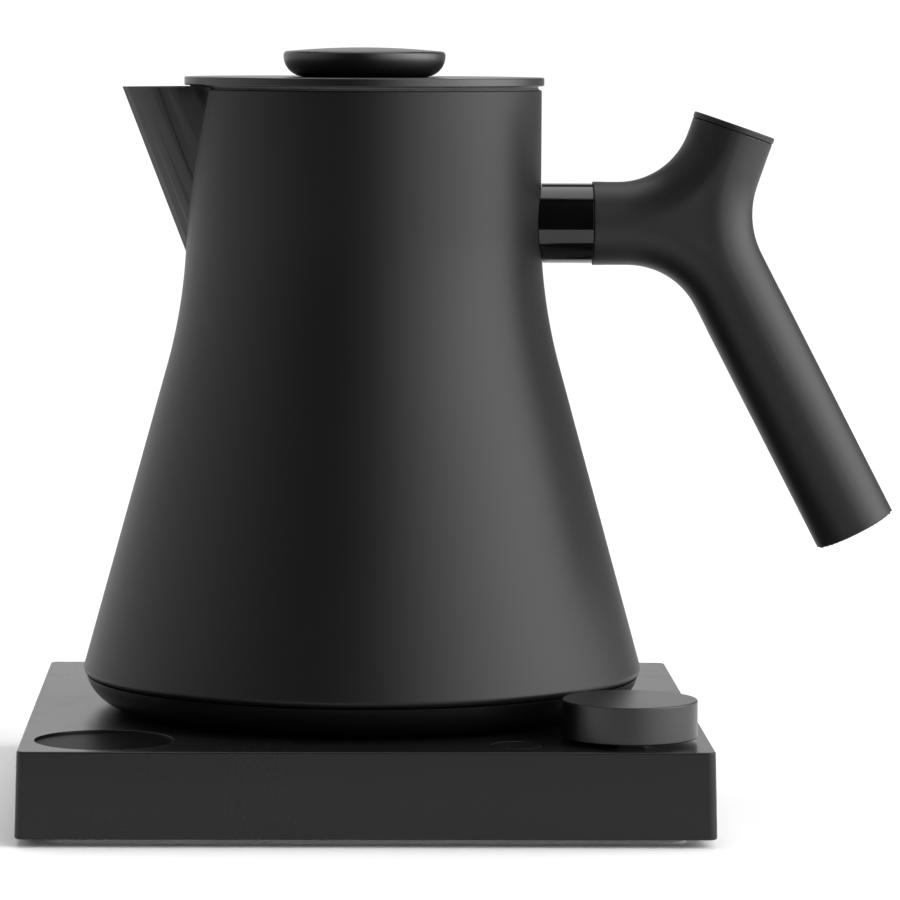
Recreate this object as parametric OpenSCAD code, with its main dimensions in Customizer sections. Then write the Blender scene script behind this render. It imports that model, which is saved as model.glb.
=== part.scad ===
// Electric pour-over kettle on a square power base, with a lift-off lid.
// +Z is up, +X points to the handle, -X to the spout and -Y to the controls.
// The origin is the centre of the face that the base rests on.

/* [Base] */
// Side of the square deck
base_w = 171.8; // [160:0.2:190]
// Height of the moulded housing, from its lower edge to the deck
base_h = 21.7; // [20:0.1:28]
// How much further out each side stands at its foot
base_draft = 0.5; // [0:0.1:1.5]
// Radius of the four upright corners
base_corner_r = 2; // [1:0.5:8]
// Radius of the edge round the deck
base_edge_r = 0.5; // [0.2:0.1:1.5]
// Wall thickness of the housing
base_wall = 2.2; // [1.6:0.1:3]
// Thickness of the deck
deck_t = 2.4; // [2:0.1:3.5]
// Thickness of the plate that closes the housing
plate_t = 2; // [1.5:0.1:3]
// Thickness of the non-slip pad
pad_t = 2; // [1:0.1:3]
// How far the pad stands in from the housing's side
pad_inset = 6.5; // [3:0.5:15]

/* [Display] */
// Diameter of the round display window
display_d = 34.6; // [28:0.2:38]
// Distance from the deck's edges to the display's centre
display_inset = 20.7; // [20:0.1:24]
// How far the window lies below the deck
display_depth = 0.6; // [0.3:0.1:1]
// Thickness of the window
window_t = 1.8; // [1.2:0.1:2]

/* [Control knob] */
// Diameter of the knob
knob_d = 33.8; // [26:0.2:38]
// Height of the knob
knob_h = 9.4; // [8:0.1:14]
// Gap between the knob and the deck
knob_gap = 1.2; // [1:0.1:2]
// Distance from the deck's edges to the knob's centre
knob_inset = 20; // [20:0.1:24]
// How far the knob is pressed
knob_travel = 0.6; // [0.3:0.1:0.8]
// Diameter of the encoder's shaft
shaft_d = 6; // [5:0.5:6]

/* [Button] */
// Diameter of the button
button_d = 13; // [10:0.5:15]
// Distance of the button from the middle of the deck
button_x = 37.5; // [30:0.5:40]
// Distance from the front edge of the deck to the button's centre
button_inset = 12.4; // [11:0.1:16]
// How far the button is pressed
button_travel = 0.5; // [0.3:0.1:0.6]

/* [Power connector] */
// Diameter of the connector's boss
boss_d = 33; // [28:0.5:40]
// Height of the boss above the deck
boss_h = 9; // [7:0.5:10]
// Diameter of the hole for the mains lead
lead_d = 7; // [6:0.1:8]

/* [Kettle body] */
// Largest radius of the body, at its shoulder
body_r = 73; // [66:0.5:80]
// Radius of the neck
neck_r = 46.2; // [40:0.1:52]
// Half the angle of the cone
cone_angle = 15.4; // [12:0.1:18]
// Radius of the flare between cone and neck
flare_r = 141; // [100:1:160]
// Height of the rim above the deck
rim_z = 161.3; // [150:0.1:190]
// Height of the shoulder above the deck
shoulder_z = 10.3; // [9:0.1:14]
// Sheet thickness of the body
body_t = 0.8; // [0.6:0.1:1.2]
// Height of the seam between bottom cover and body
seam_z = 8.8; // [7:0.1:9]
// Width of that seam
seam_gap = 0.4; // [0.2:0.1:0.8]
// Radius of the rounded foot
foot_r = 11.2; // [9:0.1:14]
// Wall of the bottom cover
cover_t = 2.2; // [1.6:0.1:2.6]
// Height of the heated floor above the deck
floor_z = 20; // [19:0.5:28]
// Thickness of the heated floor
floor_t = 1.2; // [0.8:0.1:2]

/* [Spout] */
// Distance of the spout's tip from the axis
spout_reach = 63.25; // [58:0.05:70]
// Height of the spout's lip above the rim
spout_rise = 0.5; // [0:0.1:1]
// Lean of the front edge from upright
spout_lean = 21.15; // [15:0.05:26]
// Radius of each side of the spout
spout_side_r = 60; // [50:1:80]
// Angle between each side and the square-on direction at the nose
spout_nose = 28; // [22:1:34]
// Sheet thickness of the spout
spout_t = 1; // [0.8:0.1:1.4]

/* [Handle] */
// Diameter of the handle
handle_d = 21.8; // [18:0.2:25]
// Height of the handle's arm above the deck
arm_z = 126.6; // [115:0.1:140]
// Distance of the hub, where the three legs meet, from the axis
hub_x = 87.75; // [82:0.05:95]
// Lean of the short upper leg from upright
stub_lean = 19.1; // [10:0.1:30]
// Length of the upper leg, cap included
stub_len = 27.3; // [26:0.1:36]
// Lean of the grip from upright
grip_lean = 27.4; // [20:0.05:35]
// Length of the grip
grip_len = 90.2; // [80:0.1:110]
// Inner radius of the bend between arm and upper leg
bend_top = 19.2; // [14:0.1:22]
// Inner radius of the bend between arm and grip
bend_inner = 20; // [14:0.1:22]
// Inner radius of the bend between upper leg and grip
bend_outer = 22.3; // [16:0.1:26]
// Thickness of the cap on the upper leg
cap_t = 1.6; // [1.2:0.1:3]
// Diameter of the ferrule
ferrule_d = 20.9; // [18:0.1:24]
// Distance of the ferrule's outer end from the axis
ferrule_end = 59.7; // [57:0.1:64]
// Diameter of the tongue inside the arm
tongue_d = 11.8; // [9:0.2:13]

/* [Lid] */
// Overhang of the lid past the neck
lid_lip = 0.65; // [0:0.05:1.5]
// Thickness of the lid's plate
lid_t = 2.2; // [1.5:0.1:4]
// Height of the gap between rim and plate, which the gasket fills
gasket_h = 1; // [0.8:0.1:2]
// Depth of the lid's skirt inside the neck
skirt_h = 12; // [8:0.5:20]
// Radius of the lid's knob
pebble_r = 21.1; // [16:0.1:26]
// Height of the lid's knob
pebble_h = 7.7; // [6:0.1:14]
// How far the foot of the lid's knob draws in
pebble_tuck = 5.6; // [3:0.1:7]

/* [Fits] */
// Radial clearance of parts that turn or slide on each other
running = 0.05; // [0.03:0.01:0.08]
// Clearance round parts that lift off or are pressed
free = 0.4; // [0.3:0.05:0.6]
// Gap left for glue, brazing or a close fit
close = 0.05; // [0.03:0.01:0.1]

/* [Hidden] */
$fn = 96;
TINY = 0.01;
REACH = 400; // longer than any piece, for cuts that go right through

// Heights and places in the base
deck_z = pad_t + base_h;
ceiling_z = deck_z - deck_t;
half = base_w / 2;
display_xy = [-(half - display_inset), -(half - display_inset)];
knob_xy = [half - knob_inset, -(half - knob_inset)];
button_xy = [button_x, -(half - button_inset)];
inner_w = base_w - 2 * base_wall;
plate_top = pad_t + plate_t;

// Control board, hung under the deck
board_t = 1.6;
board_top = ceiling_z - 6.2;
board_d = 34;
board_y = knob_xy[1];
board_w = 2 * knob_xy[0] + 20;
bezel_r = display_inset - base_wall - free; // just inside the walls
board_screw_r = 1.2;
board_boss_r = 2.6;
board_spots = [
    [display_xy[0] + bezel_r + 8, board_y + 11],
    [display_xy[0] + bezel_r + 8, board_y - 11],
    [button_xy[0] - 22, board_y - 11],
    [knob_xy[0] - 25, board_y + 11]
];

// Screws that close the base
base_screw_r = 1.5;
base_head_r = 3;
base_head_h = 1.2;
base_boss_r = 3.6;
base_spots = [for (sx = [-1, 1], y = [half - 11.5, -(half - 49.5)]) [sx * (half - 11.5), y]];

// Power board, on posts over the bottom plate
power_top = plate_top + 4.1;
power_w = 110;
power_d = 44;
power_y = half - 33.5;
tall_h = ceiling_z - power_top - 1.5;

// Cord gland
gland_r = lead_d / 2 + 2.5;
gland_z = pad_t + 10;
gland_flange = 2;
gland_face = half + base_draft;

// Encoder and button
encoder_w = 12.5;
bushing_r = shaft_d / 2 + 1.2;
bushing_h = 4.5;
nut_h = 2;
rotor_r = shaft_d / 2 + 1.4;
rotor_floor = board_top + 1;
rotor_top = ceiling_z - 1.4;
knob_top = deck_z + knob_gap + knob_h;
knob_roof = 2.5;
button_r = button_d / 2;
flange_r = button_r + 1.2;
flange_z = ceiling_z - 0.3;
flange_t = 1.5;
plunger_r = 1.7;
plunger_top = flange_z - flange_t - 1.6;
plunger_foot = plunger_top - 1.7;
switch_floor = plunger_foot - button_travel - 0.3;

// Connector: one ring groove and a centre hole, used by both halves
boss_r = boss_d / 2;
boss_top = deck_z + boss_h;
groove_in = 8.2;
groove_out = 10.6;
contact_t = 0.8;
pin_r = 3;
pin_hole_r = pin_r + free + contact_t + close;
connector_foot = ceiling_z - 8;
flange_out = boss_r + 4.5;

// Socket in the kettle, which turns on the cover's inner edge
socket_in = boss_r + free;
socket_out = socket_in + 3.6;
socket_flange = socket_out + 3;
socket_roof = boss_top + 0.6;
socket_top = socket_roof + 3;
socket_web = 1.2;
blade_in = groove_in + contact_t + close + free - 0.1;
blade_out = groove_out - free;
tab_r = (blade_out - blade_in) / 2 - close;

// Kettle's shape
body_z = seam_z + seam_gap / 2;
cover_top = seam_z - seam_gap / 2;
foot_gap = 0.3;
cover_r = body_r - 0.7;
shoulder_r = 1.8;
shoulder_x = body_r - shoulder_r / cos(cone_angle); // centre of the rounded shoulder
tangent_r = neck_r + flare_r * (1 - cos(cone_angle));
tangent_z = shoulder_z + (body_r - tangent_r) / tan(cone_angle);
flare_z = tangent_z + flare_r * sin(cone_angle);
neck_in = neck_r - body_t;
lift = deck_z; // the kettle's own heights count from the deck

// Heater and the parts under it
spreader_t = 1.8;
spreader_r = body_r - 20;
element_r = 45;
tube_r = 3.2;
element_z = floor_z - spreader_t - tube_r;
element_gap = 25;
terminal_z = element_z - 5.5;
stud_ring = body_r - 13;
stud_r = 3;
stud_hole_r = 1.5;
stud_foot = cover_t + foot_gap + 4;
stud_angles = [30, 150, 270];
cover_head_r = 2.9;
probe_ring = body_r - 12;
probe_angle = 90;
probe_r = 2.5;
probe_h = 9;

// Handle's legs, as directions in the XZ plane
handle_r = handle_d / 2;
to_arm = [-1, 0];
to_stub = [sin(stub_lean), cos(stub_lean)];
to_grip = [sin(grip_lean), -cos(grip_lean)];
tongue_r = tongue_d / 2;
tongue_end = hub_x + 5;
pad_end = neck_r + 3;
screw_r = 2;
screw_head_r = 3.4;
screw_seat = tongue_r + 5;
screw_head_h = 3;
spigot_r = handle_r - 3.8;
spigot_h = 5.5;
weight_r = handle_r - 4.4;
weight_from = 30;
plug_h = 5;
weight_to = grip_len - plug_h;

// Lid's heights, from the deck
lid_r = neck_r + lid_lip;
lid_z = rim_z + gasket_h;
gasket_r = neck_r - 0.5;
plug_r = neck_in - 2.3;
plug_t = 1.2;
pebble_z = lid_z + lid_t;
lid_screw_r = 2;
lid_head_r = 4;

function arc(x, z, r, from, to, n) =
    [for (i = [0 : n]) let (a = from + (to - from) * i / n) [x + r * cos(a), z + r * sin(a)]];

// Radius of the body's outer face on its cone, at height z above the deck
function cone_r(z) = body_r - (z - shoulder_z) * tan(cone_angle);

// Outline of the body's outer side, set in by t, from height foot up to height top
function body_side(t, foot, top) = concat(
    [[cone_r(foot) - t / cos(cone_angle), foot]],
    arc(neck_r + flare_r, flare_z, flare_r + t, 180 + cone_angle, 180, 14),
    [[neck_r - t, top]]
);

module square_plate(w, h, r) {
    linear_extrude(h) {
        square([w - 2 * r, w], center = true);
        square([w, w - 2 * r], center = true);
        for (sx = [-1, 1], sy = [-1, 1])
            translate([sx * (w / 2 - r), sy * (w / 2 - r)]) circle(r);
    }
}

module at(xy, z = 0) {
    translate([xy[0], xy[1], z]) children();
}

module tube(outer, inner, h) {
    difference() {
        cylinder(r = outer, h = h);
        translate([0, 0, -TINY]) cylinder(r = inner, h = h + 2 * TINY);
    }
}

// A screw with its head down, its head's lower face at z = 0
module screw(r, length, head_r, head_h) {
    cylinder(r = head_r, h = head_h);
    cylinder(r = r, h = length);
}

module ring_of(radius, angles) {
    for (a = angles) rotate([0, 0, a]) translate([radius, 0, 0]) children();
}

// ---------------------------------------------------------------- power base

module housing_block() {
    flat = 0.2;
    foot_w = base_w + 2 * base_draft;
    hull() {
        translate([0, 0, pad_t]) square_plate(foot_w, flat, base_corner_r, $fn = 32);
        translate([0, 0, deck_z - base_edge_r - flat])
            square_plate(base_w, flat, base_corner_r, $fn = 32);
        translate([0, 0, deck_z - flat])
            square_plate(base_w - 2 * base_edge_r, flat, base_corner_r, $fn = 32);
    }
}

module base_housing() {
    color("#26272a") difference() {
        union() {
            difference() {
                housing_block();
                translate([0, 0, -TINY])
                    square_plate(inner_w, ceiling_z + TINY, max(base_corner_r - base_wall, 0.6));
            }
            for (p = base_spots)
                at(p, plate_top) cylinder(r = base_boss_r, h = deck_z - plate_top - deck_t / 2);
            for (p = board_spots)
                at(p, board_top) cylinder(r = board_boss_r, h = deck_z - board_top - deck_t / 2);
        }
        at(display_xy, pad_t) cylinder(r = display_d / 2, h = REACH);
        at(knob_xy, pad_t) cylinder(r = bushing_r + close, h = REACH);
        at(button_xy, pad_t) cylinder(r = button_r + free / 2, h = REACH);
        translate([0, 0, pad_t]) cylinder(r = boss_r + close, h = REACH);
        for (p = base_spots)
            at(p, pad_t) cylinder(r = base_screw_r + close, h = ceiling_z - pad_t);
        for (p = board_spots)
            at(p, pad_t) cylinder(r = board_screw_r + close, h = ceiling_z - pad_t);
        translate([0, half - REACH / 20, gland_z]) rotate([-90, 0, 0])
            cylinder(r = gland_r + close, h = REACH / 10);
    }
}

module bottom_plate() {
    color("#1d1e20") difference() {
        union() {
            translate([0, 0, pad_t]) square_plate(inner_w - free, plate_t, 1);
            for (p = power_spots())
                at(p, plate_top - TINY) cylinder(r = 3, h = power_top - board_t - plate_top + TINY);
        }
        for (p = base_spots) {
            at(p, 0) cylinder(r = base_screw_r + 0.3, h = REACH);
            at(p, 0) cylinder(r = base_head_r + 0.3, h = pad_t + base_head_h + close);
        }
        for (p = power_spots()) at(p, plate_top) cylinder(r = board_screw_r + close, h = REACH);
    }
}

function power_spots() = [for (sx = [-1, 1], sy = [-1, 1])
    [sx * (power_w / 2 - 5), power_y + sy * (power_d / 2 - 5)]];

module nonslip_pad() {
    color("#2e2f31") square_plate(base_w - 2 * pad_inset, pad_t, 4);
}

module base_screws() {
    color("silver") for (p = base_spots)
        at(p, pad_t + close)
            screw(base_screw_r, ceiling_z - pad_t - 2, base_head_r, base_head_h);
}

// Round boss that carries the kettle: a centre hole for the pin and a groove for the ring
module base_connector() {
    color("#202123") difference() {
        union() {
            translate([0, 0, connector_foot]) cylinder(r = boss_r, h = boss_top - connector_foot);
            translate([0, 0, ceiling_z - 2.5]) cylinder(r = flange_out, h = 2.5);
        }
        translate([0, 0, connector_foot + 2]) cylinder(r = pin_hole_r, h = REACH);
        translate([0, 0, connector_foot + 2]) tube(groove_out, groove_in, REACH);
    }
}

module connector_contacts() {
    foot = connector_foot + 2;
    color("#b08d3c") {
        translate([0, 0, foot])
            tube(groove_in + close + contact_t, groove_in + close, deck_z - foot + 4);
        translate([0, 0, foot])
            tube(pin_hole_r - close, pin_hole_r - close - contact_t, deck_z - foot + 4);
    }
}

module display_bezel() {
    color("#101113") at(display_xy, deck_z - display_depth - window_t - 2.4)
        tube(bezel_r, display_d / 2 - 1.8, 2.4 - close);
}

module display_window() {
    color("#17191c") at(display_xy, deck_z - display_depth - window_t)
        cylinder(r = display_d / 2 - close, h = window_t);
}

module display_module() {
    side = (display_d - 6) / sqrt(2);
    glass_z = deck_z - display_depth - window_t - close;
    color("#3b4046") at(display_xy, board_top)
        translate([-side / 2, -side / 2, 0]) cube([side, side, glass_z - board_top]);
}

module control_board() {
    color("#1f5a3c") difference() {
        translate([-board_w / 2, board_y - board_d / 2, board_top - board_t])
            cube([board_w, board_d, board_t]);
        for (p = board_spots) at(p, 0) cylinder(r = board_screw_r + 0.3, h = REACH);
    }
}

module board_screws() {
    color("silver") {
        for (p = board_spots) at(p, board_top - board_t - 1.5)
            screw(board_screw_r, 1.5 + board_t + 4.5, 2.2, 1.5 - close);
        for (p = power_spots()) at(p, power_top + 1.5) mirror([0, 0, 1])
            screw(board_screw_r, 1.5 + board_t + 1.5, 2.2, 1.5 - close);
    }
}

module buzzer() {
    color("#151515") at([-half / 8, board_y], board_top) tube(6, 1, 4.6);
}

module encoder_body() {
    color("#4a4d50") difference() {
        union() {
            at(knob_xy, board_top) translate([-encoder_w / 2, -encoder_w / 2, 0])
                cube([encoder_w, encoder_w, ceiling_z - board_top]);
            at(knob_xy, ceiling_z - TINY) cylinder(r = bushing_r, h = deck_t + bushing_h + TINY);
        }
        at(knob_xy, board_top) cylinder(r = shaft_d / 2 + running, h = REACH);
        at(knob_xy, rotor_floor - 0.3)
            cylinder(r = rotor_r + 0.3, h = rotor_top - rotor_floor + 0.6);
    }
}

module encoder_nut() {
    color("silver") at(knob_xy, deck_z) difference() {
        cylinder(r = bushing_r + 2.2, h = nut_h, $fn = 6);
        translate([0, 0, -TINY]) cylinder(r = bushing_r + close, h = nut_h + 1);
    }
}

module encoder_rotor() {
    color("#8a8d90") at(knob_xy, rotor_floor)
        tube(rotor_r, shaft_d / 2 + running, rotor_top - rotor_floor);
}

module encoder_shaft() {
    foot = board_top + knob_travel + 0.2;
    color("#c0c3c6") at(knob_xy, foot)
        cylinder(r = shaft_d / 2, h = knob_top - knob_roof - foot - close);
}

// Hollow under its top, to clear the encoder's nut when it is pressed
module control_knob() {
    r = knob_d / 2;
    foot = deck_z + knob_gap;
    hub_r = shaft_d / 2 + 2.5;
    soft = 0.5;
    color("#1f2022") at(knob_xy, 0) difference() {
        rotate_extrude() polygon(concat(
            [[0, foot], [r - 0.3, foot], [r, foot + 0.3]],
            arc(r - soft, knob_top - soft, soft, 0, 90, 4),
            [[0, knob_top]]
        ));
        translate([0, 0, foot - TINY])
            tube(r - 2.2, hub_r, knob_h - knob_roof + TINY);
        translate([0, 0, foot - TINY])
            cylinder(r = hub_r + 1, h = deck_t + bushing_h - knob_gap);
        translate([0, 0, foot - TINY])
            cylinder(r = shaft_d / 2 + close, h = knob_h - knob_roof + TINY);
    }
}

// Shallow dished cap with a flange that stops it under the deck
module select_button() {
    dish = 0.6;
    dish_r = (pow(button_r - 0.9, 2) + dish * dish) / (2 * dish);
    color("#1a1b1d") at(button_xy, 0) difference() {
        union() {
            translate([0, 0, flange_z - flange_t]) cylinder(r = flange_r, h = flange_t);
            translate([0, 0, plunger_top]) cylinder(r = plunger_r, h = flange_z - plunger_top);
            translate([0, 0, flange_z - TINY]) cylinder(r = button_r, h = deck_z - flange_z);
        }
        translate([0, 0, deck_z - TINY + dish_r - dish]) sphere(r = dish_r, $fn = 96);
    }
}

module switch_plunger() {
    color("#6a6d70") at(button_xy, plunger_foot)
        cylinder(r = plunger_r, h = plunger_top - plunger_foot);
}

module button_switch() {
    side = 6.4;
    color("#303235") at(button_xy, 0) difference() {
        translate([-side / 2, -side / 2, board_top])
            cube([side, side, plunger_top - 0.8 - board_top]);
        translate([0, 0, switch_floor]) cylinder(r = plunger_r + 0.3, h = REACH);
    }
}

module power_board() {
    color("#1f5a3c") difference() {
        translate([-power_w / 2, power_y - power_d / 2, power_top - board_t])
            cube([power_w, power_d, board_t]);
        for (p = power_spots()) at(p, 0) cylinder(r = board_screw_r + 0.3, h = REACH);
    }
}

module power_relay() {
    color("#26456e") translate([-38, power_y - 8, power_top]) cube([20, 16, tall_h]);
}

module transformer() {
    color("#c9a227") translate([18, power_y - 10, power_top]) cube([22, 20, tall_h]);
}

module filter_capacitor() {
    color("#3a6ea5") translate([0, power_y - 6, power_top]) cylinder(r = 5, h = tall_h);
}

module terminal_block() {
    color("#e6e6e0") difference() {
        translate([-10, power_y + 8, power_top]) cube([20, 9, 8]);
        for (i = [-1 : 1]) translate([i * 6, power_y + 12.5, power_top + 3])
            cylinder(r = 1.6, h = 8);
    }
}

// Bush in the rear wall that the mains lead comes out of
module cord_gland() {
    color("#141516") translate([0, gland_face, gland_z]) rotate([-90, 0, 0]) difference() {
        union() {
            translate([0, 0, -10]) cylinder(r = gland_r, h = 10 + gland_flange);
            cylinder(r = gland_r + 1.6, h = gland_flange);
            translate([0, 0, -10]) cylinder(r = gland_r + 1.6, h = 10 - base_wall - base_draft);
        }
        translate([0, 0, -10 - TINY]) cylinder(r = lead_d / 2, h = 10 + gland_flange + 1);
    }
}

// -------------------------------------------------------------------- kettle

module above_deck(z = 0) {
    translate([0, 0, lift + z]) children();
}

// Places its child at each of the ring blade's three tabs
module blade_tabs() {
    ring_of((blade_in + blade_out) / 2, [60, 180, 300]) children();
}

// The cup that drops over the boss
module kettle_socket() {
    flange_z = cover_t + foot_gap + 0.4;
    flange_top = flange_z + 2;
    roof = socket_roof - deck_z;
    top = socket_top - deck_z;
    color("#2a2b2e") above_deck() difference() {
        union() {
            translate([0, 0, 1]) cylinder(r = socket_out, h = top - 1);
            translate([0, 0, flange_z]) cylinder(r = socket_flange, h = flange_top - flange_z);
        }
        translate([0, 0, -TINY]) cylinder(r = socket_in, h = roof + TINY);
        translate([0, 0, roof - TINY]) cylinder(r = pin_r + close, h = REACH);
        translate([0, 0, roof - TINY])
            tube(blade_out + close, blade_in - close, top - socket_web - roof + TINY);
        blade_tabs() cylinder(r = tab_r + close, h = REACH);
    }
}

module socket_contacts() {
    top = socket_top - deck_z;
    blade_top = top - socket_web - close;
    color("#b08d3c") above_deck() {
        translate([0, 0, 2]) cylinder(r = pin_r, h = top - 2);
        translate([0, 0, 3]) tube(blade_out, blade_in, blade_top - 3);
        blade_tabs() translate([0, 0, blade_top - 1]) cylinder(r = tab_r, h = 3);
    }
}

// Solid that fills the body's outer shape, grown by gap
module body_solid(gap) {
    above_deck() rotate_extrude() polygon(concat(
        [[0, body_z]],
        body_side(-gap, body_z, rim_z + gasket_h),
        [[0, rim_z + gasket_h]]
    ));
}

// Turns its child so that Z runs up the spout's front edge, through the tip
module on_spout_edge() {
    translate([-spout_reach, 0, lift + rim_z + spout_rise])
        rotate([0, -spout_lean, 0]) children();
}

// Pointed prism of the spout, its two sides set in by t
module spout_prism(t) {
    r = spout_side_r - t;
    on_spout_edge() translate([0, 0, -REACH / 4]) linear_extrude(REACH / 2) intersection() {
        translate([spout_side_r * cos(spout_nose), -spout_side_r * sin(spout_nose)])
            circle(r, $fn = 180);
        translate([spout_side_r * cos(spout_nose), spout_side_r * sin(spout_nose)])
            circle(r, $fn = 180);
    }
}

module kettle_body() {
    color("#222325") difference() {
        above_deck() rotate_extrude($fn = 180) polygon(concat(
            [[cover_r - body_t, body_z], [cover_r - 0.2, body_z]],
            arc(shoulder_x, shoulder_z, shoulder_r, -48, cone_angle, 6),
            body_side(0, shoulder_z + 1, rim_z - 0.4),
            [[neck_r - 0.15, rim_z - 0.1], [neck_r - 0.35, rim_z], [neck_in, rim_z]],
            [for (p = [len(body_side(body_t, shoulder_z, 0)) - 2 : -1 : 0])
                body_side(body_t, shoulder_z, 0)[p]]
        ));
        intersection() {
            spout_prism(-close);
            translate([-REACH, -REACH / 2, 0]) cube([REACH, REACH, REACH]);
        }
    }
}

module spout() {
    color("#222325") difference() {
        intersection() {
            spout_prism(0);
            translate([-REACH, -REACH / 2, lift + rim_z + spout_rise - 80])
                cube([REACH, REACH, 80]);
        }
        spout_prism(spout_t);
        body_solid(-body_t);
        above_deck(rim_z) cylinder(r = gasket_r + free, h = gasket_h);
    }
}

// Moulded tray that closes the kettle, with an upstand inside the body's edge
module bottom_cover() {
    foot_z = foot_gap + foot_r;
    from = asin((foot_z - cover_top) / foot_r);
    foot_x = cover_r - foot_r * cos(from);
    hole_r = socket_out + free;
    inner_r = foot_r - cover_t;
    inner_from = asin((foot_z - cover_top) / inner_r);
    inner = foot_x + inner_r * cos(inner_from);
    rise = 3;
    color("#1b1c1e") difference() {
        union() {
            above_deck() rotate_extrude() polygon(concat(
                [[hole_r, foot_gap]],
                arc(foot_x, foot_z, foot_r, -90, -from, 10),
                arc(foot_x, foot_z, inner_r, -inner_from, -90, 8),
                [[hole_r, foot_gap + cover_t]]
            ));
            above_deck(cover_top - 2) tube(inner - TINY, inner - 1.4, 2 + rise);
            above_deck() ring_of(stud_ring, stud_angles)
                translate([0, 0, foot_gap + cover_t - TINY])
                    cylinder(r = stud_r + 1.4, h = stud_foot - cover_t - foot_gap + TINY);
        }
        above_deck() ring_of(stud_ring, stud_angles) {
            translate([0, 0, -1]) cylinder(r = stud_hole_r + 0.3, h = REACH);
            translate([0, 0, -1]) cylinder(r = cover_head_r + 0.4, h = foot_gap + 4);
        }
    }
}

module cover_screws() {
    seat = foot_gap + 3;
    color("silver") above_deck() ring_of(stud_ring, stud_angles)
        translate([0, 0, seat - 2]) screw(stud_hole_r, 9 + stud_foot - seat, cover_head_r, 2 - close);
}

// Vessel's floor, with the studs that the cover screws into
module heater_plate() {
    r = cone_r(floor_z + floor_t) - body_t / cos(cone_angle) - close;
    color("#b9bcc0") above_deck() difference() {
        union() {
            translate([0, 0, floor_z]) cylinder(r = r, h = floor_t);
            ring_of(stud_ring, stud_angles)
                translate([0, 0, stud_foot]) cylinder(r = stud_r, h = floor_z - stud_foot + TINY);
        }
        ring_of(stud_ring, stud_angles) translate([0, 0, stud_foot - 1])
            cylinder(r = stud_hole_r + close, h = floor_z - stud_foot);
        ring_of(probe_ring, [probe_angle])
            translate([0, 0, floor_z - 1]) cylinder(r = probe_r + 1, h = floor_t + 2);
    }
}

module heat_spreader() {
    color("#d0d3d6") above_deck(floor_z - spreader_t) cylinder(r = spreader_r, h = spreader_t);
}

// Open ring of sheathed element, with its two ends turned down
module heating_element() {
    color("#8d9094") above_deck(element_z) {
        rotate([0, 0, element_gap]) rotate_extrude(angle = 360 - 2 * element_gap)
            translate([element_r, 0]) circle(tube_r, $fn = 48);
        ring_of(element_r, [-element_gap, element_gap])
            translate([0, 0, terminal_z - element_z])
                cylinder(r = tube_r, h = element_z - terminal_z);
        ring_of(element_r, [-element_gap, element_gap]) sphere(tube_r, $fn = 48);
    }
}

module element_terminals() {
    color("silver") above_deck(terminal_z - 4)
        ring_of(element_r, [-element_gap, element_gap]) cylinder(r = 1.5, h = 4);
}

module thermal_cutout() {
    spot = (socket_flange + free + element_r - tube_r) / 2;
    color("#e2d9c4") above_deck() ring_of(spot, [-90]) {
        translate([0, 0, floor_z - spreader_t - 5]) cylinder(r = 7, h = 5);
        translate([0, 0, floor_z - spreader_t - 7]) cylinder(r = 4.5, h = 2 + TINY);
    }
}

module temperature_probe() {
    color("#c4c7ca") above_deck() ring_of(probe_ring, [probe_angle]) {
        translate([0, 0, floor_z - 6])
            cylinder(r = probe_r, h = 6 + floor_t + probe_h - probe_r);
        translate([0, 0, floor_z + floor_t + probe_h - probe_r]) sphere(probe_r, $fn = 48);
    }
}

module probe_seal() {
    color("#7c3b2e") above_deck() ring_of(probe_ring, [probe_angle]) difference() {
        union() {
            translate([0, 0, floor_z - 1.5]) cylinder(r = probe_r + 2.5, h = 1.5);
            translate([0, 0, floor_z - TINY]) cylinder(r = probe_r + 1, h = floor_t + 2 * TINY);
            translate([0, 0, floor_z + floor_t]) cylinder(r = probe_r + 2, h = 1);
        }
        translate([0, 0, floor_z - 2]) cylinder(r = probe_r, h = REACH);
    }
}

// -------------------------------------------------------------------- handle

// Lays its child, drawn along Z from the axis, along +X at the arm's height
module along_arm(x = 0) {
    translate([x, 0, lift + arm_z]) rotate([0, 90, 0]) children();
}

// Puts its child, drawn along Z, at the hub with Z along the given leg
module along_leg(direction, s = 0) {
    lean = atan2(direction[0], direction[1]);
    translate([hub_x, 0, lift + arm_z]) rotate([0, lean, 0]) translate([0, 0, s]) children();
}

module handle_bracket() {
    color("#9a9da1") difference() {
        union() {
            along_arm(neck_r - 10) cylinder(r = ferrule_d / 2 - 1.1, h = pad_end - neck_r + 10);
            along_arm(pad_end - TINY) cylinder(r = tongue_r, h = tongue_end - pad_end);
        }
        body_solid(close);
        along_leg(to_stub, -REACH / 2) cylinder(r = screw_r + close, h = REACH);
    }
}

module handle_ferrule() {
    color("#0b0b0c") difference() {
        along_arm(neck_r - 10) cylinder(r = ferrule_d / 2, h = ferrule_end - close - neck_r + 10);
        along_arm(neck_r - 11) cylinder(r = tongue_r + close, h = REACH);
        along_arm(neck_r - 11) cylinder(r = ferrule_d / 2 - 1, h = pad_end - neck_r + 11);
        body_solid(close);
    }
}

// Straight length of the handle's tube, with a softened end
module handle_rod(h, soft, r = handle_r) {
    rotate_extrude($fn = 40) polygon(concat(
        [[0, 0], [r, 0]],
        arc(r - soft, h - soft, soft, 0, 90, 3),
        [[0, h]]
    ));
}

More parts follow.
